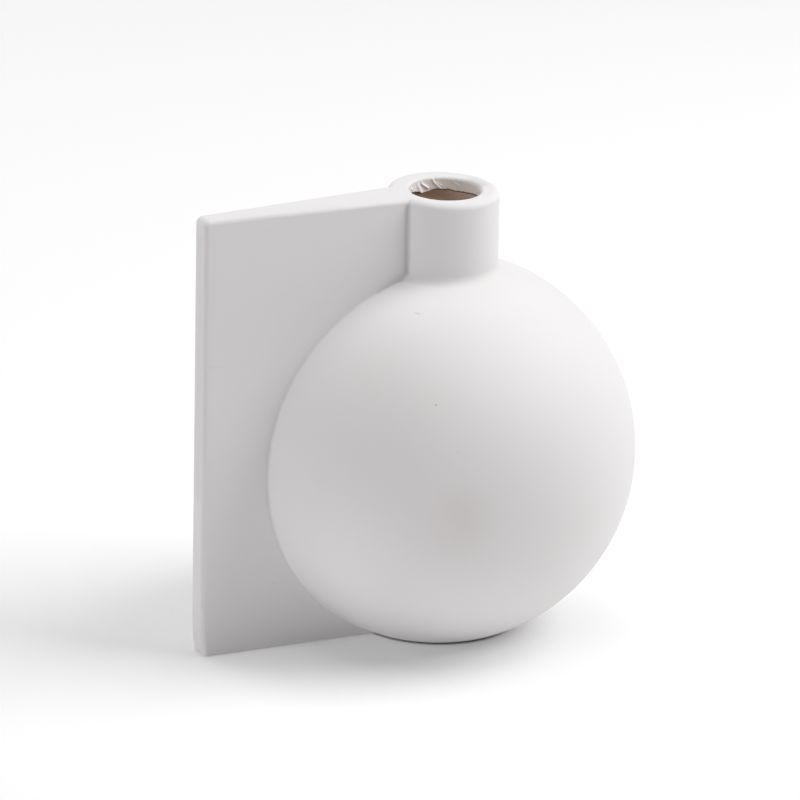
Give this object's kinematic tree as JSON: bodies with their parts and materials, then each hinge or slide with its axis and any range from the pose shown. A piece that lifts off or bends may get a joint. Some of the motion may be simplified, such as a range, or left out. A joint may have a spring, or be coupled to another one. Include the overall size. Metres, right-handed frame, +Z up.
{
  "type": "ceramic vase",
  "caption": "Matte white ceramic vase: a hollow ball on a small flat foot with a round tubular neck, and a tapered hollow slab that stands out from one side to full height.",
  "frame": {"origin": "on the table under the middle of the ball, in the centre of the felt pad's lower face", "axes": "+Z up along the neck, -X the way the slab reaches, -Y the front of the vase"},
  "size_m": [0.1878, 0.16, 0.1841],
  "materials": {
    "white_ceramic": "matte white coat over fired brown clay",
    "felt_pad": "dark pressed felt"
  },
  "bodies": {
    "root": {"ball_lower_bowl": "white_ceramic", "ball_upper_dome": "white_ceramic", "neck_collar": "white_ceramic", "slab_front_wall": "white_ceramic", "slab_back_wall": "white_ceramic", "slab_top_strip": "white_ceramic", "slab_end_strip": "white_ceramic", "slab_bottom_strip": "white_ceramic", "seam_bead_front": "white_ceramic", "seam_bead_back": "white_ceramic", "foot_pad": "felt_pad"}
  },
  "joints": []
}
